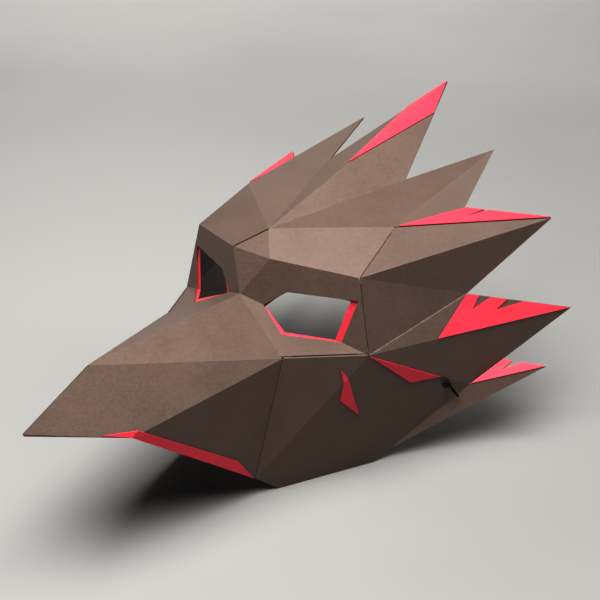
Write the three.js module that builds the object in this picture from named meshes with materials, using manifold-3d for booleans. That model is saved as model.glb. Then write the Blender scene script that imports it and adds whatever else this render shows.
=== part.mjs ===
// Crow half mask folded from brown card, with red card trims and a round elastic.
// Millimetres, +Z up. The beak points along -Y and the wearer's left side is +X.
import * as THREE from 'three';
import { mergeVertices } from 'three/addons/utils/BufferGeometryUtils.js';
import Module from 'manifold-3d';

const wasm = await Module();
wasm.setup();

// Card stock and glued joints
const CARD = 1.0;
const RED_CARD = 0.5;
const GLUE_GAP = 0.3;
const SEAM_GAP = 0.32;
const SLIT_GAP = 1.3;
const PINHOLE_RADIUS = 0.5;
const PINHOLE_SIDES = 10;
const SLAB_PAST = 2;
const TAB_SLOPE = 1.6;

// The corner tables are measured from the bridge of the nose, which stands here in the mask's frame.
const BRIDGE = new THREE.Vector3(0, -23, 112);

// The lower cheek edges are cut level at the floor, this far above their drawn corners.
const FLOOR_TRIM = 2;

// Elastic cord, its holes in the cheeks and its end knots
const ELASTIC_RADIUS = 0.8;
const ELASTIC_SIDES = 8;
const ELASTIC_STEPS = 72;
const HOLE_RADIUS = 1.5;
const HOLE_SIDES = 16;
const HOLE_AT = { toBack: 0.775, toFront: 0.028 };
const KNOT_RADIUS = 2.2;
const KNOT_WRAP_RADIUS = 1.6;
const TAIL_LENGTH = 16;
const TAIL_LIFT = 1.5;
const TAIL_DROP = 0.42;
const TAIL_STEPS = 6;

// Corners on the centre line
const CENTRE_CORNERS = {
  tip: { back: -162, up: -18 },
  ridge: { back: -117, up: 2 },
  bridge: { back: 0, up: 0 },
  crest: { back: 26, up: 32 },
  crown_tip: { back: 207, up: 79 },
};

// Corners of the left half, out from the centre line
const SIDE_CORNERS = {
  brow_out: { out: 62, back: 32, up: 16.5 },
  brow_back: { out: 56.5, back: 72.5, up: 33 },
  cheekbone: { out: 72, back: 29, up: -28 },
  beak_base: { out: 45, back: -15, up: -21 },
  upper_tip: { out: 52, back: 185, up: 49 },
  side_tip: { out: 107.3, back: 165.8, up: 22.7 },
  side_notch: { out: 67, back: 130, up: 30 },
  lower_tip: { out: 123, back: 172, up: -35.5 },
  lower_notch: { out: 88.3, back: 103.4, up: -11.4 },
  jaw_tip: { out: 127.6, back: 137.2, up: -61.3 },
  rest_front: { out: 39, back: -8.5, up: -112 - FLOOR_TRIM },
  rest_back: { out: 62.5, back: 44, up: -112 - FLOOR_TRIM },
};

// Corners that lie in the plane of three others, with the one measure that the plane gives left out
const PLANE_CORNERS = {
  beak_edge: { back: -112, up: -34, plane: ['tip', 'ridge', 'beak_base'] },
  jaw_front: { back: -27, up: -99, plane: ['cheekbone', 'rest_front', 'rest_back'] },
  cheek_back: { back: 100.5, up: -69, plane: ['cheekbone', 'rest_front', 'rest_back'] },
  upper_notch: { out: 29.5, back: 120, plane: ['crest', 'brow_back', 'upper_tip'] },
};

// The brow fold runs inwards from brow_out, where the brow and the facet under it meet.
const BROW_IN_OUT = 14;

// Corners part of the way along an edge
const EDGE_CORNERS = {
  jaw_notch: { from: 'cheek_back', to: 'lower_tip', share: 0.32 },
  jaw_root: { from: 'cheek_back', to: 'rest_back', share: 0.78 },
};

// Eye hole corners, as shares of the way from the bridge to the cheekbone, beak base and outer brow
const EYE_CORNERS = {
  eye_in: { cheekbone: 0.185 },
  eye_low: { cheekbone: 0.167, beak_base: 0.476 },
  eye_out: { cheekbone: 0.79 },
  eye_high: { cheekbone: 0.29, brow_out: 0.675 },
  eye_top: { cheekbone: 0.062, brow_out: 0.336 },
};

// The right side feather is bent a little lower and closer in.
const RIGHT_CORNERS = {
  side_tip: { out: 100.7, back: 168.2, up: 17.9 },
};

// The right eye hole is cut by hand a little larger.
const RIGHT_EYE_CORNERS = {
  eye_low: { cheekbone: 0.15, beak_base: 0.511 },
  eye_out: { cheekbone: 0.82 },
  eye_high: { cheekbone: 0.296, brow_out: 0.696 },
};

// Facets of the left half, each a run of corners counter-clockwise seen from outside
const FACE_FACETS = {
  beak_top: ['ridge', 'beak_base', 'bridge'],
  beak_side: ['tip', 'beak_edge', 'beak_base', 'ridge'],
  beak_lower: ['beak_edge', 'jaw_front', 'beak_base'],
  under_eye: ['bridge', 'beak_base', 'cheekbone', 'eye_out', 'eye_low', 'eye_in'],
  under_brow: ['bridge', 'eye_in', 'eye_top', 'eye_high', 'eye_out', 'cheekbone', 'brow_out', 'brow_in'],
  brow: ['crest', 'brow_in', 'brow_out', 'brow_back'],
  upper_inner: ['crest', 'brow_back', 'upper_tip', 'upper_notch'],
  upper_outer: ['brow_back', 'side_notch', 'upper_tip'],
  crown: ['crest', 'upper_notch', 'crown_tip'],
  side_top: ['brow_back', 'side_tip', 'side_notch'],
};
const SIDE_FACETS = {
  side_outer: ['brow_back', 'brow_out', 'side_tip'],
  side_under: ['brow_out', 'lower_notch', 'side_tip'],
  temple: ['brow_out', 'cheekbone', 'lower_notch'],
  lower_upper: ['cheekbone', 'lower_tip', 'lower_notch'],
  lower_under: ['cheekbone', 'cheek_back', 'jaw_notch', 'lower_tip'],
  cheek: ['cheekbone', 'jaw_front', 'rest_front', 'rest_back', 'jaw_root', 'cheek_back'],
  cheek_front: ['beak_base', 'jaw_front', 'cheekbone'],
  jaw_upper: ['jaw_notch', 'cheek_back', 'jaw_tip'],
  jaw_lower: ['cheek_back', 'jaw_root', 'jaw_tip'],
};

// Seams between the face panel and a side panel, with the facet on each side of the line.
// A glue tab of the side panel lies behind the face, or one of the face panel behind the side.
// Below the eye the side panel's folded lip shows beside the cut edge of the face.
const PANEL_SEAMS = [
  {
    from: 'side_tip', to: 'brow_back', face: 'side_top', side: 'side_outer',
    sideTab: { start: 0.45, end: 0.97, width: 5 },
  },
  {
    from: 'brow_back', to: 'brow_out', face: 'brow', side: 'side_outer',
    sideTab: { start: 0.06, end: 0.98, width: 8, slope: 0.3, behind: 'side_under' },
  },
  {
    from: 'brow_out', to: 'cheekbone', face: 'under_brow', side: 'temple',
    faceTab: { start: 0.03, end: 0.93, width: 6 },
  },
  {
    from: 'cheekbone', to: 'beak_base', face: 'under_eye', side: 'cheek_front', lip: 1.3, gap: 0.7,
    sideTab: { start: 0.04, end: 0.96, width: 6 },
  },
  { from: 'beak_base', to: 'jaw_front', face: 'beak_lower', side: 'cheek_front' },
];

// Red trims on single feathers, as shares of the way from the tip to the feather's root and to its notch
const FEATHER_TRIMS = {
  side_feather_trim: {
    tip: 'side_tip', root: 'brow_back', notch: 'side_notch',
    outline: [
      { root: 0.98, notch: 0.008 }, { root: 0.004, notch: 0.008 }, { root: 0.01, notch: 0.7 },
      { root: 0.335, notch: 0.4 }, { root: 0.01, notch: 0.765 }, { root: 0.01, notch: 0.97 },
    ],
  },
  lower_feather_trim: {
    tip: 'lower_tip', root: 'cheekbone', notch: 'lower_notch',
    outline: [
      { root: 0.672, notch: 0.012 }, { root: 0.004, notch: 0.004 }, { root: 0.003, notch: 0.464 },
      { root: 0.173, notch: 0.416 }, { root: 0.003, notch: 0.619 }, { root: 0.003, notch: 0.776 },
      { root: 0.214, notch: 0.557 }, { root: 0.003, notch: 0.886 }, { root: 0.003, notch: 0.994 },
    ],
  },
  jaw_feather_trim: {
    tip: 'jaw_tip', root: 'cheek_back', notch: 'jaw_notch',
    outline: [
      { root: 0.006, notch: 0.98 }, { root: 0.98, notch: 0.006 }, { root: 0.004, notch: 0.004 },
      { root: 0.012, notch: 0.51 }, { root: 0.345, notch: 0.4 }, { root: 0.012, notch: 0.765 },
    ],
  },
};

// Red trims on the cheek, as shares of the way from the cheekbone along the folds to its other corners
const CHEEK_TRIM = [
  { back: 0.016, front: 0.003 }, { back: 0.501, front: 0.097 }, { back: 0.69, front: 0.003 },
];
const CHEEK_MARK = {
  top: { front: 0.1, base: 0.202 },
  fold_low: { front: 0.222 },
  fold_high: { front: 0.182 },
  low: { front: 0.34, back: 0.093 },
  foot: { front: 0.402, back: 0.332 },
};

// Red strip on the beak's lower edge, as shares of the edges from its corner.
// Its own fold stands a little in front of the beak's.
const BEAK_STRIP = {
  start: { tip: 0.302, beak_base: 0.016 },
  corner: { jaw_front: -0.012, beak_base: 0.003 },
  fold: { jaw_front: -0.042, beak_base: 0.068 },
  shoulder: { jaw_front: 0.725, beak_base: 0.095 },
  end: { jaw_front: 0.98, beak_base: 0.003 },
};

// Red trim on the crown feather: where it starts on the ridge and on the two edges
const CROWN_TRIM = { ridge: 0.416, edge: 0.66, tip: 0.997 };

// Red lining behind an eye hole: its opening and its glued margin, as shares like the eye's
const RIM_CORNERS = {
  open_in: { cheekbone: 0.197 },
  open_low: { cheekbone: 0.236, beak_base: 0.352 },
  open_out: { cheekbone: 0.742 },
  open_high: { cheekbone: 0.285, brow_out: 0.615 },
  open_top: { cheekbone: 0.022, brow_out: 0.4 },
  margin_in: { cheekbone: 0.1 },
  margin_low: { cheekbone: 0.13, beak_base: 0.6 },
  margin_out: { cheekbone: 0.87 },
  margin_high: { cheekbone: 0.225, brow_out: 0.745 },
  margin_top: { cheekbone: -0.04, brow_out: 0.46 },
};
const RIGHT_RIM_CORNERS = {
  open_in: { cheekbone: 0.26 },
  open_low: { cheekbone: 0.359, beak_base: 0.318 },
  open_out: { cheekbone: 0.778 },
  open_high: { cheekbone: 0.313, brow_out: 0.634 },
};
const RIM_FACETS = [
  ['margin_in', 'margin_low', 'margin_out', 'open_out', 'open_low', 'open_in'],
  ['margin_in', 'open_in', 'open_top', 'open_high', 'open_out', 'margin_out', 'margin_high', 'margin_top'],
];

// Route of the elastic between its holes: it drops inside each cheek and lies on the floor.
const ELASTIC_ROUTE = [
  { out: 77, back: 63, up: 50 },
  { out: 71, back: 62, up: 42 },
  { out: 67, back: 59, up: 26 },
  { out: 63, back: 55, up: 11 },
  { out: 56, back: 49, up: 3.4 },
  { out: 45, back: 40, up: 1.3 },
  { out: 31, back: 31, up: 1.2 },
  { out: 15, back: 25, up: 1.2 },
];
const ELASTIC_MIDDLE = { back: 23, up: 1.2 };

const BROWN = new THREE.MeshStandardMaterial({ color: '#6e5c50', roughness: 0.85, metalness: 0 });
const RED = new THREE.MeshStandardMaterial({ color: '#d42c46', roughness: 0.8, metalness: 0 });
const BLACK = new THREE.MeshStandardMaterial({ color: '#161414', roughness: 0.7, metalness: 0 });

const SIDES = [{ name: 'left', sign: 1 }, { name: 'right', sign: -1 }];

// Corner places of the left half, measured from the bridge
const place = {};
for (const [name, { back, up }] of Object.entries(CENTRE_CORNERS)) {
  place[name] = new THREE.Vector3(0, back, up);
}
for (const [name, { out, back, up }] of Object.entries(SIDE_CORNERS)) {
  place[name] = new THREE.Vector3(out, back, up);
}

function planeThrough(names) {
  return new THREE.Plane().setFromCoplanarPoints(...names.map((name) => place[name]));
}

// The one coordinate that is not given is moved until the point lies in the plane.
for (const [name, { out, back, up, plane }] of Object.entries(PLANE_CORNERS)) {
  const point = new THREE.Vector3(out ?? 0, back ?? 0, up ?? 0);
  const axis = out === undefined ? 'x' : 'z';
  const flat = planeThrough(plane);
  point[axis] -= flat.distanceToPoint(point) / flat.normal[axis];
  place[name] = point;
}
{
  const brow = planeThrough(['crest', 'brow_back', 'brow_out']);
  const underBrow = planeThrough(['bridge', 'cheekbone', 'brow_out']);
  const fold = brow.normal.clone().cross(underBrow.normal);
  const run = (BROW_IN_OUT - place.brow_out.x) / fold.x;
  place.brow_in = place.brow_out.clone().addScaledVector(fold, run);
}
for (const [name, { from, to, share }] of Object.entries(EDGE_CORNERS)) {
  place[name] = place[from].clone().lerp(place[to], share);
}

// A point given as shares of the way from one corner to others
function sharePoint(from, shares, places = place) {
  const point = places[from].clone();
  for (const [to, share] of Object.entries(shares)) {
    point.addScaledVector(places[to].clone().sub(places[from]), share);
  }
  return point;
}
function eyePlaces(corners) {
  return Object.fromEntries(
    Object.entries(corners).map(([name, shares]) => [name, sharePoint('bridge', shares)]),
  );
}
Object.assign(place, eyePlaces(EYE_CORNERS));
const rightPlace = { ...place, ...eyePlaces(RIGHT_EYE_CORNERS) };
for (const [name, { out, back, up }] of Object.entries(RIGHT_CORNERS)) {
  rightPlace[name] = new THREE.Vector3(out, back, up);
}
const placesOf = (side) => (side.sign > 0 ? place : rightPlace);

const mirrored = (point, sign) => new THREE.Vector3(point.x * sign, point.y, point.z);

// Facets and places of a whole sheet, from its left half or mirrored to the right
function halfSheet(facets, places, side) {
  const key = (name) => (name in CENTRE_CORNERS ? name : `${name}_${side.name}`);
  const runs = facets.map((run) => (side.sign > 0 ? run : [...run].reverse()).map(key));
  const named = new Map();
  for (const name of new Set(facets.flat())) {
    named.set(key(name), mirrored(places[name], side.sign));
  }
  return { runs, places: named };
}

function joinSheets(...sheets) {
  return {
    runs: sheets.flatMap((sheet) => sheet.runs),
    places: new Map(sheets.flatMap((sheet) => [...sheet.places])),
  };
}

// Newell's normal of a flat polygon
function facetNormal(points) {
  const normal = new THREE.Vector3();
  points.forEach((a, i) => {
    const b = points[(i + 1) % points.length];
    normal.x += (a.y - b.y) * (a.z + b.z);
    normal.y += (a.z - b.z) * (a.x + b.x);
    normal.z += (a.x - b.x) * (a.y + b.y);
  });
  return normal.normalize();
}

// For each corner, the step that raises every facet around it by one millimetre.
// The small ridge term keeps the step short where the facets are almost in line.
function raiseSteps({ runs, places }) {
  const RIDGE = 0.03;
  const sums = new Map();
  for (const run of runs) {
    const n = facetNormal(run.map((name) => places.get(name)));
    for (const name of run) {
      if (!sums.has(name)) {
        const matrix = new THREE.Matrix3().identity().multiplyScalar(RIDGE);
        sums.set(name, { matrix, normal: new THREE.Vector3() });
      }
      const sum = sums.get(name);
      const outer = [...n].flatMap((a) => [...n].map((b) => a * b));
      outer.forEach((value, i) => { sum.matrix.elements[i] += value; });
      sum.normal.add(n);
    }
  }
  const steps = new Map();
  for (const [name, { matrix, normal }] of sums) {
    steps.set(name, normal.applyMatrix3(matrix.invert()));
  }
  return steps;
}

// Triangles of one flat facet, as corner names
function facetTriangles(run, places) {
  const points = run.map((name) => places.get(name));
  const normal = facetNormal(points);
  const across = points[1].clone().sub(points[0]).normalize();
  const along = normal.clone().cross(across);
  const flat = points.map((point) => new THREE.Vector2(point.dot(across), point.dot(along)));
  return THREE.ShapeUtils.triangulateShape(flat, []).map(([a, b, c]) => {
    const turn = flat[b].clone().sub(flat[a]).cross(flat[c].clone().sub(flat[a]));
    return (turn > 0 ? [a, b, c] : [a, c, b]).map((i) => run[i]);
  });
}

// A folded sheet of card as a closed solid between two heights over its facets
function sheetSolid(sheet, top, bottom, steps = raiseSteps(sheet)) {
  const names = [...sheet.places.keys()];
  const indexOf = new Map(names.map((name, i) => [name, i]));
  const positions = [];
  for (const height of [top, bottom]) {
    for (const name of names) {
      positions.push(...sheet.places.get(name).clone().addScaledVector(steps.get(name), height));
    }
  }
  const upper = (name) => indexOf.get(name);
  const lower = (name) => indexOf.get(name) + names.length;
  const triangles = [];
  for (const run of sheet.runs) {
    for (const [a, b, c] of facetTriangles(run, sheet.places)) {
      triangles.push(upper(a), upper(b), upper(c), lower(c), lower(b), lower(a));
    }
  }
  const runEdges = (run) => run.map((a, i) => `${a} ${run[(i + 1) % run.length]}`);
  const edges = new Set(sheet.runs.flatMap(runEdges));
  for (const edge of edges) {
    const [a, b] = edge.split(' ');
    if (!edges.has(`${b} ${a}`)) {
      triangles.push(lower(a), lower(b), upper(b), lower(a), upper(b), upper(a));
    }
  }
  return solidFrom(positions, triangles);
}

function solidFrom(positions, triangles) {
  const vertProperties = new Float32Array(positions);
  const triVerts = new Uint32Array(triangles);
  return new wasm.Manifold(new wasm.Mesh({ numProp: 3, vertProperties, triVerts }));
}

// A three.js geometry as a solid that can be joined and cut
function solidOf(geometry, matrix = new THREE.Matrix4()) {
  const bare = geometry.clone().applyMatrix4(matrix);
  bare.deleteAttribute('normal');
  bare.deleteAttribute('uv');
  const merged = mergeVertices(bare, 1e-4);
  return solidFrom(merged.attributes.position.array, merged.index.array);
}

function namedMesh(name, solid, material) {
  const { vertProperties, triVerts } = solid.getMesh();
  const geometry = new THREE.BufferGeometry();
  geometry.setAttribute('position', new THREE.BufferAttribute(vertProperties, 3));
  geometry.setIndex(new THREE.BufferAttribute(triVerts, 1));
  geometry.computeVertexNormals();
  const mesh = new THREE.Mesh(geometry, material);
  mesh.name = name;
  return mesh;
}

const facetOf = (name) => FACE_FACETS[name] ?? SIDE_FACETS[name];
const normalIn = (name, places) => facetNormal(facetOf(name).map((corner) => places[corner]));
const leftNormal = (name) => normalIn(name, place);

function facetMiddle(name, places) {
  const corners = facetOf(name);
  const middle = new THREE.Vector3();
  corners.forEach((corner) => middle.addScaledVector(places[corner], 1 / corners.length));
  return middle;
}

// A seam in the left or right half: its two ends and the normals of the facets that meet there
function seamLine(seam, side) {
  const places = placesOf(side);
  const outward = facetMiddle(seam.side, places).sub(facetMiddle(seam.face, places));
  const next = seam.sideTab?.behind;
  return {
    start: mirrored(places[seam.from], side.sign),
    end: mirrored(places[seam.to], side.sign),
    faceNormal: mirrored(normalIn(seam.face, places), side.sign),
    sideNormal: mirrored(normalIn(seam.side, places), side.sign),
    outward: mirrored(outward, side.sign),
    gap: seam.gap ?? SEAM_GAP,
    lip: seam.lip ?? 0,
    holes: [seam.from, seam.to].map((name) => `${name}_${side.name}`),
    sideTab: seam.sideTab,
    faceTab: seam.faceTab,
    nextNormal: next ? mirrored(normalIn(next, places), side.sign) : null,
  };
}

// The direction across a line, in the plane of the facet over it and away from the other one
function inwardOf({ start, end }, ownNormal, overNormal) {
  const along = end.clone().sub(start).normalize();
  const inward = overNormal.clone().cross(along);
  return inward.multiplyScalar(-Math.sign(inward.dot(ownNormal)));
}

// The slab that opens a seam, standing on the line between its two facets or a lip's width inside it.
// It clears half of the gap on the panel's own side and everything just past the line.
function seamSlab(line, pastLine) {
  const { start, end, faceNormal, sideNormal, gap, lip } = line;
  const along = end.clone().sub(start);
  const length = along.length();
  along.normalize();
  const depth = faceNormal.clone().add(sideNormal).normalize();
  const across = depth.clone().cross(along).normalize();
  const shift = pastLine.length() > 0 ? SLAB_PAST / 2 * Math.sign(across.dot(pastLine)) : 0;
  const width = gap + 2 * Math.abs(shift);
  const middle = start.clone().lerp(end, 0.5)
    .addScaledVector(inwardOf(line, sideNormal, faceNormal), lip)
    .addScaledVector(depth, -CARD / 2).addScaledVector(across, shift);
  const matrix = new THREE.Matrix4().makeBasis(along, across, depth).setPosition(middle);
  return solidOf(new THREE.BoxGeometry(length + lip, width, 6 * CARD), matrix);
}

// Stands a shape on a point with its own axis turned along a direction
function standOn(point, direction, axis) {
  const turn = new THREE.Quaternion().setFromUnitVectors(axis, direction.clone().normalize());
  return new THREE.Matrix4().compose(point, turn, new THREE.Vector3(1, 1, 1));
}

// The pinhole that is left through the card where fold lines meet at a seam's end
function pinhole(point, step) {
  return solidOf(
    new THREE.CylinderGeometry(PINHOLE_RADIUS, PINHOLE_RADIUS, 8 * CARD, PINHOLE_SIDES),
    standOn(point, step, new THREE.Vector3(0, 1, 0)),
  );
}

// A flat flap of card behind a facet, from its root beside a line to its shorter free edge
function flap({ start, end }, { from, to, root, reach, taper, depth }, inward, normal) {
  const along = end.clone().sub(start).normalize();
  const corner = (share, shift, run) => start.clone().lerp(end, share)
    .addScaledVector(along, shift).addScaledVector(normal, -depth).addScaledVector(inward, run);
  const outline = [
    corner(from, 0, root), corner(to, 0, root), corner(to, -taper, reach), corner(from, taper, reach),
  ];
  const turned = facetNormal(outline).dot(normal) > 0 ? outline : outline.reverse();
  const names = ['root_a', 'root_b', 'free_b', 'free_a'];
  const places = new Map(names.map((name, i) => [name, turned[i]]));
  return sheetSolid({ runs: [names], places }, CARD / 2, -CARD / 2);
}

// A glue tab: it grows from the middle of its own facet and lies behind the facet over it.
function glueTab(line, tab, ownNormal, overNormal) {
  const inward = inwardOf(line, ownNormal, overNormal);
  const depth = CARD + GLUE_GAP + CARD / 2;
  const root = (-CARD / 2 + depth * overNormal.dot(ownNormal)) / ownNormal.dot(inward);
  const span = line.start.distanceTo(line.end) * (tab.end - tab.start);
  const taper = Math.min((tab.slope ?? TAB_SLOPE) * tab.width, span / 3);
  const shape = { from: tab.start, to: tab.end, root, reach: tab.width, taper, depth };
  return flap(line, shape, inward, overNormal);
}

// The lip of a side panel, folded over into the plane of the face
function foldLip(line) {
  const { sideNormal, faceNormal, lip, gap } = line;
  const shape = { from: 0.01, to: 0.99, root: 0, reach: lip - gap / 2, taper: lip / 2, depth: CARD / 2 };
  return flap(line, shape, inwardOf(line, sideNormal, faceNormal), faceNormal);
}

const RIGHT = SIDES[1];
const faceSheet = joinSheets(
  ...SIDES.map((side) => halfSheet(Object.values(FACE_FACETS), placesOf(side), side)),
  {
    runs: [
      ['brow_in_right', 'bridge', 'brow_in_left'],
      ['crest', 'brow_in_right', 'brow_in_left'],
    ],
    places: new Map(),
  },
);
const sideSheets = SIDES.map((side) => halfSheet(Object.values(SIDE_FACETS), placesOf(side), side));
const cardSheet = joinSheets(faceSheet, ...sideSheets);
const cardSteps = raiseSteps(cardSheet);

// Two open lines inside the face panel: over the beak tip, and beside the forehead on the right
const foreheadCorners = ['crest', 'brow_in_right', 'brow_in_left'];
const forehead = facetNormal(foreheadCorners.map((name) => faceSheet.places.get(name)));
const FACE_SLITS = [
  {
    start: place.tip,
    end: place.ridge,
    faceNormal: mirrored(leftNormal('beak_side'), RIGHT.sign),
    sideNormal: leftNormal('beak_side'),
    outward: new THREE.Vector3(),
    gap: SEAM_GAP,
    lip: 0,
    holes: ['tip', 'ridge'],
    sideTab: { start: 0.16, end: 0.9, width: 6 },
  },
  {
    start: place.crest,
    end: mirrored(place.brow_in, RIGHT.sign),
    faceNormal: mirrored(leftNormal('brow'), RIGHT.sign),
    sideNormal: forehead,
    outward: new THREE.Vector3(),
    gap: SLIT_GAP,
    lip: 0,
    holes: [],
    sideTab: { start: 0.4, end: 0.92, width: 6 },
  },
];

const panelLines = SIDES.map((side) => PANEL_SEAMS.map((seam) => seamLine(seam, side)));

// Opens the seams of a panel that lies on the face side (1) or on the cheek side (-1) of the lines.
// A side panel is left whole where it folds on into a lip.
function openSeams(solid, lines, panelSide) {
  let opened = solid;
  for (const line of lines) {
    if (panelSide > 0 || line.lip === 0) {
      opened = opened.subtract(seamSlab(line, line.outward.clone().multiplyScalar(panelSide)));
    }
    for (const name of line.holes) {
      opened = opened.subtract(pinhole(cardSheet.places.get(name), cardSteps.get(name)));
    }
  }
  return opened;
}

// A glue tab on the cheek side of a line. Where the panel's next facet folds down close to the line,
// the tab ends inside that facet's card.
function sideTab(line) {
  const tab = glueTab(line, line.sideTab, line.sideNormal, line.faceNormal);
  if (!line.nextNormal) {
    return tab;
  }
  const inside = line.nextNormal.clone().negate();
  return tab.trimByPlane(inside.toArray(), inside.dot(line.end) + CARD / 2);
}

function addSideTabs(solid, lines) {
  return lines.filter((line) => line.sideTab).reduce((sum, line) => sum.add(sideTab(line)), solid);
}

function addFaceTabs(solid, lines) {
  return lines.filter((line) => line.faceTab).reduce(
    (sum, line) => sum.add(glueTab(line, line.faceTab, line.faceNormal, line.sideNormal)),
    solid,
  );
}

function facePanel() {
  const card = sheetSolid(faceSheet, 0, -CARD, cardSteps);
  const opened = openSeams(card, [...panelLines.flat(), ...FACE_SLITS], 1);
  const tabbed = addFaceTabs(addSideTabs(opened, FACE_SLITS), panelLines.flat());
  return namedMesh('face_panel', tabbed, BROWN);
}

// Where the elastic goes through a cheek, and the cheek's outward normal there
const cheekNormal = leftNormal('cheek');
const holePoint = sharePoint('cheekbone', { cheek_back: HOLE_AT.toBack, jaw_front: HOLE_AT.toFront });

function holeDrill(side) {
  const normal = mirrored(cheekNormal, side.sign);
  return solidOf(
    new THREE.CylinderGeometry(HOLE_RADIUS, HOLE_RADIUS, 8 * CARD, HOLE_SIDES),
    standOn(mirrored(holePoint, side.sign), normal, new THREE.Vector3(0, 1, 0)),
  );
}

function floorTrim() {
  const depth = 20;
  const matrix = new THREE.Matrix4().makeTranslation(0, 0, -BRIDGE.z - depth / 2);
  return solidOf(new THREE.BoxGeometry(400, 400, depth), matrix);
}

function sidePanel(side, index) {
  const card = sheetSolid(sideSheets[index], 0, -CARD, cardSteps);
  const opened = openSeams(card, panelLines[index], -1);
  const trimmed = opened.subtract(holeDrill(side)).subtract(floorTrim());
  const lipped = panelLines[index].filter((line) => line.lip > 0)
    .reduce((sum, line) => sum.add(foldLip(line)), trimmed);
  return namedMesh(`side_panel_${side.name}`, addSideTabs(lipped, panelLines[index]), BROWN);
}

// A red piece glued on the card, from its facets on the left half
function redPiece(name, facets, places, side, low = GLUE_GAP) {
  const sheet = halfSheet(facets, places, side);
  return namedMesh(`${name}_${side.name}`, sheetSolid(sheet, low + RED_CARD, low), RED);
}

function featherTrims(side) {
  return Object.entries(FEATHER_TRIMS).map(([name, { tip, root, notch, outline }]) => {
    const places = {};
    outline.forEach((row, i) => {
      places[`p${i}`] = sharePoint(tip, { [root]: row.root, [notch]: row.notch }, placesOf(side));
    });
    return redPiece(name, [Object.keys(places)], places, side);
  });
}

const cheekPoint = ({ front = 0, back = 0, base = 0 }) =>
  sharePoint('cheekbone', { jaw_front: front, cheek_back: back, beak_base: base });

function cheekTrims(side) {
  const trim = Object.fromEntries(CHEEK_TRIM.map((row, i) => [`p${i}`, cheekPoint(row)]));
  const mark = Object.fromEntries(
    Object.entries(CHEEK_MARK).map(([name, row]) => [name, cheekPoint(row)]),
  );
  const markFacets = [['top', 'fold_low', 'fold_high'], ['fold_low', 'low', 'foot', 'fold_high']];
  return [
    redPiece('cheek_trim', [Object.keys(trim)], trim, side),
    redPiece('cheek_mark', markFacets, mark, side),
  ];
}

function beakStrip(side) {
  const places = Object.fromEntries(
    Object.entries(BEAK_STRIP).map(([name, shares]) => [name, sharePoint('beak_edge', shares)]),
  );
  const facets = [['start', 'corner', 'fold'], ['corner', 'end', 'shoulder', 'fold']];
  return redPiece('beak_strip', facets, places, side);
}

function eyeRim(side) {
  const corners = side === RIGHT ? { ...RIM_CORNERS, ...RIGHT_RIM_CORNERS } : RIM_CORNERS;
  return redPiece('eye_rim', RIM_FACETS, eyePlaces(corners), side, -CARD - 1.5 * GLUE_GAP - RED_CARD);
}

function crownTrim() {
  const edgePoint = place.upper_notch.clone().lerp(place.crown_tip, CROWN_TRIM.edge);
  const places = new Map([
    ['start', place.crest.clone().lerp(place.crown_tip, CROWN_TRIM.ridge)],
    ['tip', place.crest.clone().lerp(place.crown_tip, CROWN_TRIM.tip)],
    ['edge_left', edgePoint],
    ['edge_right', mirrored(edgePoint, RIGHT.sign)],
  ]);
  const runs = [['start', 'edge_left', 'tip'], ['start', 'tip', 'edge_right']];
  return namedMesh('crown_trim', sheetSolid({ runs, places }, GLUE_GAP + RED_CARD, GLUE_GAP), RED);
}

// A round cord along a smooth curve
function cordGeometry(points, radius, steps) {
  const round = new THREE.EllipseCurve(0, 0, radius, radius).getPoints(ELASTIC_SIDES);
  const section = new THREE.Shape(round.slice(0, -1));
  const extrudePath = new THREE.CatmullRomCurve3(points, false, 'centripetal');
  return new THREE.ExtrudeGeometry(section, { extrudePath, steps, bevelEnabled: false });
}

function elastic() {
  const fromFloor = ({ out = 0, back, up }) => new THREE.Vector3(out, back, up).sub(BRIDGE);
  const start = holePoint.clone().addScaledVector(cheekNormal, GLUE_GAP / 2);
  const inside = holePoint.clone().addScaledVector(cheekNormal, -5 * CARD);
  const half = [start, inside, ...ELASTIC_ROUTE.map(fromFloor)];
  const other = half.map((point) => mirrored(point, RIGHT.sign)).reverse();
  const points = [...half, fromFloor(ELASTIC_MIDDLE), ...other];
  return namedMesh('elastic', solidOf(cordGeometry(points, ELASTIC_RADIUS, ELASTIC_STEPS)), BLACK);
}

// An overhand knot outside the cheek: a wrapped ball and the cut end of the cord
function knot(side) {
  const normal = mirrored(cheekNormal, side.sign);
  const centre = mirrored(holePoint, side.sign).addScaledVector(normal, KNOT_RADIUS + 2 * GLUE_GAP);
  const fold = place.cheek_back.clone().sub(place.cheekbone).normalize();
  const down = place.rest_back.clone().sub(place.cheek_back).normalize();
  const tailWay = mirrored(fold.addScaledVector(down, TAIL_DROP).normalize(), side.sign);
  const at = standOn(centre, normal, new THREE.Vector3(0, 0, 1));
  const ball = solidOf(new THREE.SphereGeometry(KNOT_RADIUS, 12, 8), at);
  const wrap = solidOf(new THREE.TorusGeometry(KNOT_WRAP_RADIUS, ELASTIC_RADIUS, 8, 14), at);
  const tailPoint = (share) => centre.clone()
    .addScaledVector(tailWay, share * TAIL_LENGTH)
    .addScaledVector(normal, share * share * TAIL_LIFT);
  const tail = solidOf(cordGeometry([0, 0.35, 0.7, 1].map(tailPoint), ELASTIC_RADIUS * 0.9, TAIL_STEPS));
  return namedMesh(`knot_${side.name}`, ball.add(wrap).add(tail), BLACK);
}

const mask = new THREE.Group();
mask.position.copy(BRIDGE);
mask.add(facePanel(), crownTrim(), elastic());
SIDES.forEach((side, index) => {
  mask.add(sidePanel(side, index), eyeRim(side), beakStrip(side), knot(side));
  mask.add(...featherTrims(side), ...cheekTrims(side));
});

const model = new THREE.Group();
model.add(mask);

export default model;
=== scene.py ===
"""Crow half mask in folded card: finishes its panels and trims, ties the elastic and sets the stage."""

import math

import bmesh
import bpy
from mathutils import Matrix, Vector


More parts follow.
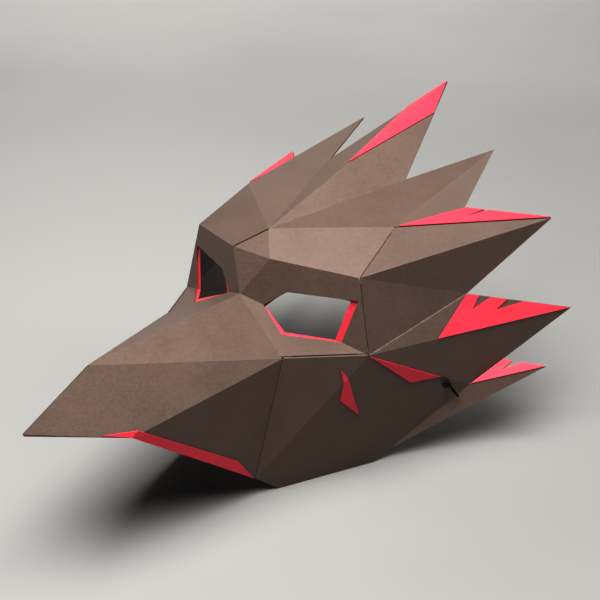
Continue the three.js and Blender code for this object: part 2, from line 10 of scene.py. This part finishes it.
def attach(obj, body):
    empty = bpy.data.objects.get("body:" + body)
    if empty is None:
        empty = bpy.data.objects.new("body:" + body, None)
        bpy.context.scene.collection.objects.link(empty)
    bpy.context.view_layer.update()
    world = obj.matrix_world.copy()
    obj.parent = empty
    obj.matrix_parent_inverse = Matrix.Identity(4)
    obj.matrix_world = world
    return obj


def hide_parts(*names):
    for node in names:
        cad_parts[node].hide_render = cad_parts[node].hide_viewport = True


bl_info = {
    "name": "Crow half mask",
    "version": (1, 0, 0),
    "blender": (4, 5, 0),
    "location": "View3D > Sidebar > Mask",
    "description": "Finishes a folded card crow mask and sets it on a pale floor",
    "category": "Object",
}

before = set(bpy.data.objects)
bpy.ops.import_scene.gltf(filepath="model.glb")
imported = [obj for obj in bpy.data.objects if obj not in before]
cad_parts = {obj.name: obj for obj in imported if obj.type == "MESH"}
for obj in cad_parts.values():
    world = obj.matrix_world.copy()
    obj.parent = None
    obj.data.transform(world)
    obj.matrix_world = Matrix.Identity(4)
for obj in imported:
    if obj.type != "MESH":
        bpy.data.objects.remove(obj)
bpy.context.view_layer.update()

MM = 0.001
BODY = "root"
SIDES = (("left", 1), ("right", -1))

# The bridge of the nose in the mask's frame. The corner tables are measured from it, in millimetres.
BRIDGE = Vector((0, -23, 112))

# Corners of the centre line and of the wearer's left half: out, back, up
CORNERS = {
    "tip": (0, -162, -18),
    "ridge": (0, -117, 2),
    "bridge": (0, 0, 0),
    "crest": (0, 26, 32),
    "crown_tip": (0, 207, 79),
    "brow_in": (14, 10.4, 22.3),
    "brow_out": (62, 32, 16.5),
    "brow_back": (56.5, 72.5, 33),
    "cheekbone": (72, 29, -28),
    "beak_base": (45, -15, -21),
    "beak_edge": (25.2, -112, -34),
    "jaw_front": (33.5, -27, -99),
    "rest_front": (38.3, -11, -112),
    "rest_back": (64, 46.5, -112),
    "cheek_back": (96.3, 100.5, -69),
    "jaw_root": (69.9, 56.4, -104.1),
    "jaw_notch": (104.8, 123.4, -58.3),
    "jaw_tip": (127.6, 137.2, -61.3),
    "lower_tip": (123, 172, -35.5),
    "lower_notch": (88.3, 103.4, -11.4),
    "side_tip": (107.3, 165.8, 22.7),
    "side_notch": (67, 130, 30),
    "upper_tip": (52, 185, 49),
    "upper_notch": (29.5, 120, 42.2),
    "eye_in": (13.3, 5.4, -5.2),
    "eye_out": (56.9, 22.9, -22.1),
}

# The right half's corners. Its side feather is bent a little lower and closer in.
RIGHT_CORNERS = {**CORNERS, "side_tip": (100.7, 168.2, 17.9)}

# Folds that have rubbed pale, each from corner to corner. These and the lines below are in both halves.
WORN_FOLDS = (
    ("bridge", "beak_base"),
    ("crest", "brow_in"),
    ("crest", "brow_back"),
    ("brow_back", "upper_tip"),
    ("brow_out", "side_tip"),
)

# The one fold that is creased to the paper's pale core
CREASED_FOLDS = (("cheekbone", "lower_notch"),)

# Folds that show hardly any wear
CRISP_FOLDS = (
    ("ridge", "bridge"),
    ("ridge", "beak_base"),
    ("beak_edge", "beak_base"),
    ("bridge", "eye_in"),
    ("eye_out", "cheekbone"),
    ("bridge", "brow_in"),
    ("brow_in", "brow_out"),
    ("crest", "crown_tip"),
    ("crest", "upper_notch"),
    ("brow_out", "lower_notch"),
    ("cheekbone", "lower_tip"),
    ("cheekbone", "cheek_back"),
    ("cheekbone", "jaw_front"),
    ("cheekbone", "beak_base"),
    ("cheek_back", "jaw_tip"),
)

# Glued seams, each a run of corners, along which a painted shadow darkens the card
SEAMS = (
    ("tip", "ridge"),
    ("side_tip", "brow_back", "brow_out"),
)

# Cut edges, each a run of corners
CUT_EDGES = (
    ("tip", "beak_edge", "jaw_front", "rest_front", "rest_back", "jaw_root", "jaw_tip"),
    ("jaw_tip", "jaw_notch", "lower_tip", "lower_notch", "side_tip", "side_notch", "upper_tip"),
    ("upper_tip", "upper_notch", "crown_tip"),
)

# Lines on each card: title, runs of corners, setting with its colour, strength, share of the wear and shadow
# width. The seams' dark line is painted shadow; the other lines are pale wear.
BROWN_LINES = (
    ("Creased folds", CREASED_FOLDS, "brown_core", 0.8, 0.7),
    ("Worn folds", WORN_FOLDS, "brown_worn", 0.3, 1.0),
    ("Crisp folds", CRISP_FOLDS, "brown_worn", 0.1, 1.0),
    ("Cut edges", CUT_EDGES, "brown_worn", 0.2, 1.0),
    # Painted shadow: a dark line along the glued seams, where the shade of their gaps falls
    ("Seams", SEAMS, "seam", 0.7, 0.6),
)
RED_LINES = (("Trim folds", CRISP_FOLDS, "red_worn", 0.4, 1.0),)

BROWN_PANELS = ("face_panel", "side_panel_left", "side_panel_right")

# Red trims that both sides have
RED_TRIMS = (
    "side_feather_trim",
    "lower_feather_trim",
    "jaw_feather_trim",
    "cheek_trim",
    "cheek_mark",
    "beak_strip",
    "eye_rim",
)

# Card grain in cycles per metre: two layers of long fibres, fine tooth, mottle, waves, breaks in the wear
FIBRES_ALONG_X = (260, 1500, 1100)
FIBRES_ALONG_Y = (1500, 300, 900)
TOOTH_SCALE = 2600
MOTTLE_SCALE = 34
WAVE_SCALE = 26
BREAK_SCALE = 420

# Shares of fibre and mottle in the card's shade, the shades between which its colour and roughness turn,
# and how far they turn
FIBRE_SHARE = 0.58
MOTTLE_SHARE = 0.42
COLOUR_RANGE = (0.54, 1.04)
ROUGH_RANGE = (0.52, 1.07)
CARD_DARK = 0.85
CARD_LIGHT = 1.15
ROUGH_SPREAD = 0.06
CARD_GLOSS = 0.6

# Strength and height in metres of the card's tooth and of its waviness
TOOTH_BUMP = (0.10, 0.0002)
WAVE_BUMP = (0.06, 0.004)

# Route of the elastic from inside the left cheek to the middle, in millimetres in the mask's frame
ELASTIC_ROUTE = (
    (77, 63, 50),
    (71, 62, 42),
    (67, 59, 26),
    (63, 55, 11),
    (56, 49, 3.4),
    (45, 40, 1.3),
    (31, 31, 1.2),
    (15, 25, 1.2),
)
ELASTIC_MIDDLE = (0, 23, 1.2)

# The cheek hole, as shares of the way from the cheekbone to these corners
HOLE_SHARES = {"cheek_back": 0.775, "jaw_front": 0.028}

# The elastic starts just outside its hole and goes straight in for this far, in metres
START_OUTSIDE = 0.00015
STRAIGHT_INSIDE = 0.005

# Distance between the rings of the elastic and of its knots, in metres
CORD_SPACING = 0.0005
KNOT_SPACING = 0.0004

# Braid: points in a ring, strands each way, one turn in radii, depth as a share of the radius
RING_POINTS = 16
BRAID_STRANDS = 4
BRAID_TURN = 4
BRAID_DEPTH = 0.07

# Braided cover: threads and lint in cycles per metre, the lint's colour and share, gloss, and the threads'
# bump as strength and height in metres
THREAD_SCALES = (5200, 5200, 2400)
LINT_SCALE = 900
LINT_COLOUR = (0.05, 0.046, 0.043, 1.0)
LINT_SHARE = 0.05
ELASTIC_GLOSS = 0.15
THREAD_BUMP = (0.3, 0.0001)

# Knot: size in cord radii, width against depth, gap to the cheek in metres, tied part of the loop in radians
KNOT_SIZE = 1.02
KNOT_WIDTH = 0.9
KNOT_GAP = 0.0005
KNOT_START = 0.35
KNOT_END = math.tau - 0.75
KNOT_STEPS = 30

# Cut end of a knot: its slant down the cheek, its length and lift in metres, and points along it
TAIL_SLANT = 0.42
TAIL_LENGTH = 0.016
TAIL_LIFT = 0.0015
TAIL_SHARES = (0.3, 0.55, 0.8, 1.0)

# Softboxes: name, place, point that it faces and side in metres, setting with its power
SOFTBOXES = (
    ("Top softbox", (0.16, -0.32, 1.06), (0.0, 0.0, 0.05), 0.82, "top_power"),
    ("Rear softbox", (0.70, 1.00, 0.90), (0.0, 0.0, 0.05), 1.0, "rear_power"),
    ("Back softbox", (-1.0, 0.75, 1.5), (-1.8, 2.1, 0.4), 1.3, "back_power"),
)
STUDIO_COLOUR = (0.95, 0.98, 1.0, 1.0)
STUDIO_STRENGTH = 0.016
VIEW_GAMMA = 0.7

# Floor and backdrop in metres: half width, front edge, start and radius of the bend, height, turn in degrees
FLOOR_SIDE = 5.0
FLOOR_FRONT = -5.0
BEND_START = 1.1
BEND_RADIUS = 0.9
BEND_STEPS = 16
BACKDROP_HEIGHT = 2.2
BACKDROP_TURN = 39.6

# Painted pool of light on the floor beside the mask: centre and reach in metres, brightness against the rest
LIT_PATCH_CENTRE = (-0.36, 0.08, 0.0)
LIT_PATCH_REACH = 0.62
LIT_PATCH_FACTOR = 1.27

# Camera: place and clip range in metres, turn and tilt in degrees, sensor in millimetres
CAMERA_PLACE = (0.45785, -0.52180, 0.43521)
CAMERA_TURN = 39.612
CAMERA_TILT = 25.841
SENSOR_WIDTH = 36
CLIP_START = 0.01
CLIP_END = 20


def corner(name, sign):
    """A corner of the mask in metres, on the left (1) or the right (-1)."""
    corners = CORNERS if sign > 0 else RIGHT_CORNERS
    out, back, up = corners[name]
    return (BRIDGE + Vector((out * sign, back, up))) * MM


class CardSettings(bpy.types.PropertyGroup):
    """Colours and grain of the card."""

    brown: bpy.props.FloatVectorProperty(
        name="Brown card",
        description="Colour of the folded card",
        subtype="COLOR",
        size=3,
        min=0,
        max=1,
        default=(0.073, 0.0505, 0.0405),
    )
    brown_worn: bpy.props.FloatVectorProperty(
        name="Worn fold",
        description="Colour of the card where a fold has rubbed pale",
        subtype="COLOR",
        size=3,
        min=0,
        max=1,
        default=(0.115, 0.085, 0.068),
    )
    brown_core: bpy.props.FloatVectorProperty(
        name="Hard crease",
        description="Colour of the card's core where a hard crease has broken its surface",
        subtype="COLOR",
        size=3,
        min=0,
        max=1,
        default=(0.27, 0.21, 0.17),
    )
    # Painted shadow: the dark colour drawn along the glued seams in place of the shade in their gaps
    seam: bpy.props.FloatVectorProperty(
        name="Seam",
        description="Colour of the card beside a glued seam",
        subtype="COLOR",
        size=3,
        min=0,
        max=1,
        default=(0.012, 0.008, 0.006),
    )
    brown_gloss: bpy.props.FloatVectorProperty(
        name="Brown gloss",
        description="Tint of the brown card's soft gloss",
        subtype="COLOR",
        size=3,
        min=0,
        max=1,
        default=(1.0, 0.82, 0.72),
    )
    red_gloss: bpy.props.FloatVectorProperty(
        name="Red gloss",
        description="Tint of the red card's soft gloss",
        subtype="COLOR",
        size=3,
        min=0,
        max=1,
        default=(0.45, 0.3, 0.33),
    )
    red: bpy.props.FloatVectorProperty(
        name="Red card",
        description="Colour of the glued trims",
        subtype="COLOR",
        size=3,
        min=0,
        max=1,
        default=(0.47, 0.038, 0.06),
    )
    red_worn: bpy.props.FloatVectorProperty(
        name="Worn red",
        description="Colour of the red card along the folds that it is bent over",
        subtype="COLOR",
        size=3,
        min=0,
        max=1,
        default=(0.5, 0.07, 0.085),
    )
    # This width also sets how far the painted seam shadow reaches
    wear_and_shadow_width: bpy.props.FloatProperty(
        name="Wear width",
        description="How far the pale wear reaches from a fold",
        subtype="DISTANCE",
        unit="LENGTH",
        default=0.001,
    )
    roughness: bpy.props.FloatProperty(
        name="Roughness",
        description="Roughness of the card's surface",
        subtype="FACTOR",
        min=0,
        max=1,
        default=0.5,
    )


class ElasticSettings(bpy.types.PropertyGroup):
    """Size and colour of the elastic."""

    diameter: bpy.props.FloatProperty(
        name="Diameter",
        description="Diameter of the round elastic",
        subtype="DISTANCE",
        unit="LENGTH",
        default=0.0016,
    )
    colour: bpy.props.FloatVectorProperty(
        name="Elastic",
        description="Colour of the braided cover",
        subtype="COLOR",
        size=3,
        min=0,
        max=1,
        default=(0.0035, 0.003, 0.003),
    )


class StageSettings(bpy.types.PropertyGroup):
    """Floor, lights and camera."""

    floor: bpy.props.FloatVectorProperty(
        name="Floor",
        description="Colour of the floor and backdrop",
        subtype="COLOR",
        size=3,
        min=0,
        max=1,
        default=(0.184, 0.181, 0.175),
    )
    top_power: bpy.props.FloatProperty(
        name="Top light",
        description="Power of the softbox over the mask",
        unit="POWER",
        default=50,
    )
    rear_power: bpy.props.FloatProperty(
        name="Rear light",
        description="Power of the softbox behind the feathers",
        unit="POWER",
        default=12,
    )
    back_power: bpy.props.FloatProperty(
        name="Back light",
        description="Power of the softbox over the floor behind the mask",
        unit="POWER",
        default=97,
    )
    lens: bpy.props.FloatProperty(
        name="Lens",
        description="Focal length of the camera",
        unit="CAMERA",
        default=78,
    )


class Nodes:
    """A node tree with short ways to add and join nodes."""

    def __init__(self, tree):
        self.tree = tree

    def add(self, kind, inputs=None, **settings):
        node = self.tree.nodes.new(kind)
        for name, value in settings.items():
            setattr(node, name, value)
        for name, value in (inputs or {}).items():
            self.feed(node.inputs[name], value)
        return node

    def feed(self, socket, value):
        if isinstance(value, bpy.types.NodeSocket):
            self.tree.links.new(value, socket)
        else:
            socket.default_value = value

    def maths(self, operation, a, b, clamp=False):
        node = self.add("ShaderNodeMath", {0: a, 1: b}, operation=operation, use_clamp=clamp)
        return node.outputs[0]

    def vector(self, operation, a, b):
        node = self.add("ShaderNodeVectorMath", {0: a, 1: b}, operation=operation)
        return node.outputs["Value" if operation in ("DOT_PRODUCT", "DISTANCE") else "Vector"]

    def scale(self, vector, share):
        node = self.add("ShaderNodeVectorMath", {0: vector, "Scale": share}, operation="SCALE")
        return node.outputs["Vector"]

    def noise(self, vector, scale, detail, roughness=0.5):
        inputs = {"Vector": vector, "Scale": scale, "Detail": detail, "Roughness": roughness}
        return self.add("ShaderNodeTexNoise", inputs).outputs["Fac"]

    def ramp(self, value, low, high, to_low=0.0, to_high=1.0):
        inputs = {"Value": value, "From Min": low, "From Max": high, "To Min": to_low, "To Max": to_high}
        node = self.add("ShaderNodeMapRange", inputs, interpolation_type="SMOOTHSTEP")
        return node.outputs["Result"]

    def mix(self, share, a, b):
        # The colour sockets go by number, because a Mix node has the same names for its other types
        return self.add("ShaderNodeMix", {0: share, 6: a, 7: b}, data_type="RGBA").outputs[2]

    def bump(self, height, strength, distance):
        return self.add("ShaderNodeBump", {"Height": height, "Strength": strength, "Distance": distance})


def rgba(colour, factor=1.0):
    return (*(min(channel * factor, 1.0) for channel in colour), 1.0)


def line_group(title, corner_runs):
    """A node group that gives the distance from a point to the nearest of some lines, in both halves."""
    pairs = [pair for run in corner_runs for pair in zip(run, run[1:])]
    lines = [[corner(name, sign) for name in pair] for _, sign in SIDES for pair in pairs]
    group = bpy.data.node_groups.new(title, "ShaderNodeTree")
    group.interface.new_socket("Point", in_out="INPUT", socket_type="NodeSocketVector")
    group.interface.new_socket("Distance", in_out="OUTPUT", socket_type="NodeSocketFloat")
    nodes = Nodes(group)
    point = nodes.add("NodeGroupInput").outputs["Point"]
    nearest = None
    for start, end in lines:
        run = end - start
        offset = nodes.vector("SUBTRACT", point, start)
        along = nodes.vector("DOT_PRODUCT", offset, run / run.length_squared)
        share = nodes.maths("ADD", along, 0.0, clamp=True)
        distance = nodes.vector("DISTANCE", offset, nodes.scale(run, share))
        nearest = distance if nearest is None else nodes.maths("MINIMUM", nearest, distance)
    nodes.add("NodeGroupOutput", {"Distance": nearest})
    return group


def new_material(name):
    """An empty node material with its surface shader and object coordinates."""
    material = bpy.data.materials.new(name)
    material.use_nodes = True
    material.node_tree.nodes.clear()
    nodes = Nodes(material.node_tree)
    shader = nodes.add("ShaderNodeBsdfPrincipled")
    output = nodes.add("ShaderNodeOutputMaterial")
    nodes.feed(output.inputs["Surface"], shader.outputs["BSDF"])
    point = nodes.add("ShaderNodeTexCoord").outputs["Object"]
    return material, nodes, shader, point


def card_grain(nodes, point):
    """Fibre, mottle and tooth of pressed card: its shade and its fine height."""
    long_x = nodes.noise(nodes.vector("MULTIPLY", point, FIBRES_ALONG_X), 1.0, 3.0)
    long_y = nodes.noise(nodes.vector("MULTIPLY", point, FIBRES_ALONG_Y), 1.0, 3.0)
    fibre = nodes.maths("ADD", long_x, long_y)
    tooth = nodes.noise(point, TOOTH_SCALE, 2.0, 0.6)
    mottle = nodes.noise(point, MOTTLE_SCALE, 4.0, 0.55)
    fibre_shade = nodes.maths("MULTIPLY", fibre, FIBRE_SHARE)
    shade = nodes.maths("ADD", fibre_shade, nodes.maths("MULTIPLY", mottle, MOTTLE_SHARE))
    height = nodes.maths("ADD", nodes.maths("MULTIPLY", fibre, 0.5), tooth)
    return shade, height


def card_material(settings, name, base, gloss, lines):
    """Matte card with fibre, mottle, a faint waviness and its lines: pale wear, and painted shadow along
    seams.
    """
    material, nodes, shader, point = new_material(name)
    shade, height = card_grain(nodes, point)
    colour = nodes.mix(nodes.ramp(shade, *COLOUR_RANGE), rgba(base, CARD_DARK), rgba(base, CARD_LIGHT))
    breaks = nodes.ramp(nodes.noise(point, BREAK_SCALE, 3.0, 0.6), 0.3, 0.7, 0.25, 1.0)
    # Each line blends its colour in near its corners: pale wear, or painted shadow along the seams
    for title, corner_runs, tint, strength, reach in lines:
        distance = nodes.add("ShaderNodeGroup", node_tree=line_group(title, corner_runs))
        nodes.feed(distance.inputs["Point"], point)
        near = nodes.ramp(distance.outputs["Distance"], settings.wear_and_shadow_width * reach, 0.0)
        share = nodes.maths("MULTIPLY", nodes.maths("MULTIPLY", near, breaks), strength)
        colour = nodes.mix(share, colour, rgba(getattr(settings, tint)))
    nodes.feed(shader.inputs["Base Color"], colour)
    smoothest = settings.roughness - ROUGH_SPREAD
    roughest = min(settings.roughness + ROUGH_SPREAD, 1.0)
    nodes.feed(shader.inputs["Roughness"], nodes.ramp(shade, *ROUGH_RANGE, smoothest, roughest))
    shader.inputs["Specular IOR Level"].default_value = CARD_GLOSS
    shader.inputs["Specular Tint"].default_value = rgba(gloss)
    tooth = nodes.bump(height, *TOOTH_BUMP)
    waves = nodes.bump(nodes.noise(point, WAVE_SCALE, 2.0), *WAVE_BUMP)
    nodes.feed(waves.inputs["Normal"], tooth.outputs["Normal"])
    nodes.feed(shader.inputs["Normal"], waves.outputs["Normal"])
    return material


def dress(node_name, material):
    """Gives a CAD node its finished material."""
    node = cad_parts[node_name]
    node.data.materials.clear()
    node.data.materials.append(material)


class MASK_OT_fold_card(bpy.types.Operator):
    """Finishes the brown panels as folded card with worn folds and painted shadow along its glued seams"""

    bl_idname = "mask.fold_card"
    bl_label = "Finish brown card"

    def execute(self, context):
        settings = context.scene.mask_card
        brown = card_material(settings, "Brown card", settings.brown, settings.brown_gloss, BROWN_LINES)
        for name in BROWN_PANELS:
            dress(name, brown)
        return {"FINISHED"}


class MASK_OT_glue_trims(bpy.types.Operator):
    """Finishes the red trims as thin coloured card"""

    bl_idname = "mask.glue_trims"
    bl_label = "Finish red trims"

    def execute(self, context):
        settings = context.scene.mask_card
        red = card_material(settings, "Red card", settings.red, settings.red_gloss, RED_LINES)
        dress("crown_trim", red)
        for trim in RED_TRIMS:
            for side, _ in SIDES:
                dress(f"{trim}_{side}", red)
        return {"FINISHED"}


def cheek_hole(sign):
    """Where the elastic leaves a cheek, in metres, and the cheek's outward direction there."""
    start = corner("cheekbone", sign)
    point = start.copy()
    for name, share in HOLE_SHARES.items():
        point += (corner(name, sign) - start) * share
    along = corner("cheek_back", sign) - start
    down = corner("jaw_front", sign) - start
    normal = down.cross(along).normalized() * sign
    return point, normal


def path_length(path):
    return sum((b - a).length for a, b in zip(path, path[1:]))


def smooth_path(points, spacing):
    """Points every so far along a smooth curve through the given ones."""
    curve = bpy.data.curves.new("path", "CURVE")
    curve.dimensions = "3D"
    curve.resolution_u = 24
    spline = curve.splines.new("BEZIER")
    spline.bezier_points.add(len(points) - 1)
    for bend, point in zip(spline.bezier_points, points):
        bend.co = point
        bend.handle_left_type = "AUTO"
        bend.handle_right_type = "AUTO"
    holder = bpy.data.objects.new("path", curve)
    bpy.context.collection.objects.link(holder)
    line = holder.to_mesh()
    dense = [vertex.co.copy() for vertex in line.vertices]
    holder.to_mesh_clear()
    bpy.data.objects.remove(holder)
    bpy.data.curves.remove(curve)
    total = path_length(dense)
    count = max(2, round(total / spacing))
    path = [dense[0]]
    reach = 0.0
    index = 0
    for step in range(1, count):
        target = total * step / count
        while reach + (dense[index + 1] - dense[index]).length < target:
            reach += (dense[index + 1] - dense[index]).length
            index += 1
        piece = dense[index + 1] - dense[index]
        path.append(dense[index] + piece * ((target - reach) / piece.length))
    path.append(dense[-1])
    return path


def mesh_object(name, mesh, material):
    """A smooth-shaded object from a finished bmesh."""
    data = bpy.data.meshes.new(name)
    mesh.to_mesh(data)
    mesh.free()
    for face in data.polygons:
        face.use_smooth = True
    data.materials.append(material)
    piece = bpy.data.objects.new(name, data)
    bpy.context.collection.objects.link(piece)
    return piece


def braided_tube(name, path, radius, material):
    """A round cord along a path, its surface raised in the diamonds of a braid."""
    mesh = bmesh.new()
    across = (path[1] - path[0]).normalized().orthogonal().normalized()
    rings = []
    reach = 0.0
    for index, point in enumerate(path):
        before = path[max(index - 1, 0)]
        after = path[min(index + 1, len(path) - 1)]
        along = (after - before).normalized()
        across = (across - along * across.dot(along)).normalized()
        up = along.cross(across)
        if index:
            reach += (point - before).length
        phase = math.tau * reach / (radius * BRAID_TURN)
        ring = []
        for side in range(RING_POINTS):
            angle = math.tau * side / RING_POINTS
            strand = BRAID_STRANDS * angle
            weave = max(math.cos(strand + phase), math.cos(strand - phase))
            size = radius * (1 - BRAID_DEPTH * (1 - weave) / 2)
            ring.append(mesh.verts.new(point + (across * math.cos(angle) + up * math.sin(angle)) * size))
        rings.append(ring)
    for a, b in zip(rings, rings[1:]):
        for side in range(RING_POINTS):
            other = (side + 1) % RING_POINTS
            mesh.faces.new((a[side], a[other], b[other], b[side]))
    mesh.faces.new(reversed(rings[0]))
    mesh.faces.new(rings[-1])
    bmesh.ops.recalc_face_normals(mesh, faces=mesh.faces)
    return mesh_object(name, mesh, material)


def elastic_material(settings):
    """Black braided cover: fine threads, faint lint and a dull sheen."""
    material, nodes, shader, point = new_material("Black elastic")
    thread = nodes.noise(nodes.vector("MULTIPLY", point, THREAD_SCALES), 1.0, 2.0)
    lint = nodes.ramp(nodes.noise(point, LINT_SCALE, 3.0), 0.55, 0.75)
    dark = rgba(settings.colour, 0.6)
    light = rgba(settings.colour, 1.7)
    colour = nodes.mix(nodes.ramp(thread, 0.3, 0.7), dark, light)
    colour = nodes.mix(nodes.maths("MULTIPLY", lint, LINT_SHARE), colour, LINT_COLOUR)
    nodes.feed(shader.inputs["Base Color"], colour)
    nodes.feed(shader.inputs["Roughness"], nodes.ramp(thread, 0.2, 0.8, 0.8, 0.95))
    shader.inputs["Specular IOR Level"].default_value = ELASTIC_GLOSS
    bump = nodes.bump(thread, *THREAD_BUMP)
    nodes.feed(shader.inputs["Normal"], bump.outputs["Normal"])
    return material


class MASK_OT_thread_elastic(bpy.types.Operator):
    """Threads the elastic through both cheeks, knots its ends and lays it on the floor"""

    bl_idname = "mask.thread_elastic"
    bl_label = "Thread the elastic"

    def execute(self, context):
        settings = context.scene.mask_elastic
        material = elastic_material(settings)
        radius = settings.diameter / 2
        hole, normal = cheek_hole(1)
        half = [hole + normal * START_OUTSIDE, hole - normal * STRAIGHT_INSIDE]
        half += [Vector(point) * MM for point in ELASTIC_ROUTE]
        other = [Vector((-point.x, point.y, point.z)) for point in reversed(half)]
        path = smooth_path([*half, Vector(ELASTIC_MIDDLE) * MM, *other], CORD_SPACING)
        cord = braided_tube("elastic_cord", path, radius, material)
        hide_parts("elastic")
        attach(cord, BODY)
        knots = [self.tie(side, sign, radius, material) for side, sign in SIDES]
        return {"FINISHED"}

    def tie(self, side, sign, radius, material):
        """An overhand knot outside a cheek, with its cut end."""
        hole, normal = cheek_hole(sign)
        fold = (corner("cheek_back", sign) - corner("cheekbone", sign)).normalized()
        down = (corner("rest_back", sign) - corner("cheek_back", sign)).normalized()
        tail = (fold + down * TAIL_SLANT).normalized()
        across = normal.cross(tail)
        unit = radius * KNOT_SIZE
        centre = hole + normal * (unit * 2 + KNOT_GAP)

        def loop(turn):
            """A point of a trefoil, which is an overhand knot with its ends joined."""
            flat = tail * (math.sin(turn) + 2 * math.sin(2 * turn))
            flat += across * (math.cos(turn) - 2 * math.cos(2 * turn))
            return centre + flat * unit * KNOT_WIDTH - normal * math.sin(3 * turn) * unit

        sweep = KNOT_END - KNOT_START
        tied = [loop(KNOT_START + sweep * step / KNOT_STEPS) for step in range(KNOT_STEPS + 1)]
        cut_end = tail * TAIL_LENGTH + normal * TAIL_LIFT
        free = [tied[-1] + cut_end * share for share in TAIL_SHARES]
        path = smooth_path([*tied, *free], KNOT_SPACING)
        knot = braided_tube(f"elastic_knot_{side}", path, radius, material)
        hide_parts(f"knot_{side}")
        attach(knot, BODY)
        return knot


class MASK_OT_set_stage(bpy.types.Operator):
    """Sets the pale floor, the softboxes and the camera"""

    bl_idname = "mask.set_stage"
    bl_label = "Set the stage"

    def execute(self, context):
        settings = context.scene.mask_stage
        self.add_floor(self.floor_material(settings))
        for name, place, aim, size, power in SOFTBOXES:
            self.add_light(name, place, aim, size, getattr(settings, power))
        world = bpy.data.worlds.new("Studio")
        world.use_nodes = True
        background = world.node_tree.nodes["Background"]
        background.inputs["Color"].default_value = STUDIO_COLOUR
        background.inputs["Strength"].default_value = STUDIO_STRENGTH
        context.scene.world = world
        context.scene.view_settings.view_transform = "Standard"
        context.scene.view_settings.gamma = VIEW_GAMMA
        self.add_camera(context.scene, settings)
        return {"FINISHED"}

    def floor_material(self, settings):
        """Matte paper, faintly clouded, with a painted pool of light beside the mask."""
        material, nodes, shader, point = new_material("Floor paper")
        cloud = nodes.ramp(nodes.noise(point, 3.0, 3.0), 0.3, 0.7)
        colour = nodes.mix(cloud, rgba(settings.floor, 0.97), rgba(settings.floor, 1.03))
        # Painted light: the floor colour brightens towards this centre, in place of the light pooling beside
        # the mask
        pale = nodes.ramp(nodes.vector("DISTANCE", point, LIT_PATCH_CENTRE), LIT_PATCH_REACH, 0.0)
        colour = nodes.mix(pale, colour, rgba(settings.floor, LIT_PATCH_FACTOR))
        nodes.feed(shader.inputs["Base Color"], colour)
        shader.inputs["Roughness"].default_value = 0.9
        shader.inputs["Specular IOR Level"].default_value = 0.1
        return material

    def add_floor(self, material):
        """A floor that curves up into a backdrop behind the mask."""
        turn = math.radians(BACKDROP_TURN)
        away = Vector((-math.sin(turn), math.cos(turn), 0))
        across = Vector((away.y, -away.x, 0))
        profile = [(FLOOR_FRONT, 0.0), (BEND_START, 0.0)]
        for step in range(1, BEND_STEPS + 1):
            angle = math.pi / 2 * step / BEND_STEPS
            run = BEND_START + BEND_RADIUS * math.sin(angle)
            profile.append((run, BEND_RADIUS * (1 - math.cos(angle))))
        profile.append((BEND_START + BEND_RADIUS, BACKDROP_HEIGHT))
        mesh = bmesh.new()
        rows = []
        for run, height in profile:
            middle = away * run + Vector((0, 0, height))
            rows.append([mesh.verts.new(middle + across * side) for side in (-FLOOR_SIDE, FLOOR_SIDE)])
        for a, b in zip(rows, rows[1:]):
            mesh.faces.new((a[0], a[1], b[1], b[0]))
        mesh_object("floor", mesh, material)

    def add_light(self, name, place, aim, size, power):
        """A square softbox that faces a point."""
        data = bpy.data.lights.new(name, "AREA")
        data.shape = "SQUARE"
        data.size = size
        data.energy = power
        light = bpy.data.objects.new(name, data)
        light.location = place
        light.rotation_euler = (Vector(aim) - Vector(place)).to_track_quat("-Z", "Y").to_euler()
        bpy.context.collection.objects.link(light)

    def add_camera(self, scene, settings):
        """The camera, above and in front of the left side."""
        turn = math.radians(CAMERA_TURN)
        tilt = math.radians(CAMERA_TILT)
        level = math.cos(tilt)
        right = Vector((math.cos(turn), math.sin(turn), 0))
        back = Vector((math.sin(turn) * level, -math.cos(turn) * level, math.sin(tilt)))
        up = back.cross(right)
        axes = Matrix((right, up, back)).transposed()
        data = bpy.data.cameras.new("Camera")
        data.sensor_width = SENSOR_WIDTH
        data.lens = settings.lens
        data.clip_start = CLIP_START
        data.clip_end = CLIP_END
        camera = bpy.data.objects.new("Camera", data)
        camera.matrix_world = Matrix.Translation(CAMERA_PLACE) @ axes.to_4x4()
        bpy.context.collection.objects.link(camera)
        scene.camera = camera


class MASK_PT_sidebar(bpy.types.Panel):
    """The mask's settings and steps in the 3D view's sidebar"""

    bl_idname = "MASK_PT_sidebar"
    bl_label = "Crow half mask"
    bl_space_type = "VIEW_3D"
    bl_region_type = "UI"
    bl_category = "Mask"

    def draw(self, context):
        for settings in (context.scene.mask_card, context.scene.mask_elastic, context.scene.mask_stage):
            box = self.layout.box()
            for name in settings.__annotations__:
                box.prop(settings, name)
        for step in STEPS:
            self.layout.operator(step.bl_idname)


SETTINGS = {"mask_card": CardSettings, "mask_elastic": ElasticSettings, "mask_stage": StageSettings}
STEPS = (MASK_OT_set_stage, MASK_OT_thread_elastic, MASK_OT_fold_card, MASK_OT_glue_trims)
CLASSES = (*SETTINGS.values(), *STEPS, MASK_PT_sidebar)


def register():
    for cls in CLASSES:
        bpy.utils.register_class(cls)
    for name, cls in SETTINGS.items():
        setattr(bpy.types.Scene, name, bpy.props.PointerProperty(type=cls))


def unregister():
    for name in SETTINGS:
        delattr(bpy.types.Scene, name)
    for cls in reversed(CLASSES):
        bpy.utils.unregister_class(cls)


def main():
    register()
    bpy.ops.mask.set_stage()
    bpy.ops.mask.thread_elastic()
    bpy.ops.mask.fold_card()
    bpy.ops.mask.glue_trims()


if __name__ == "__main__":
    main()
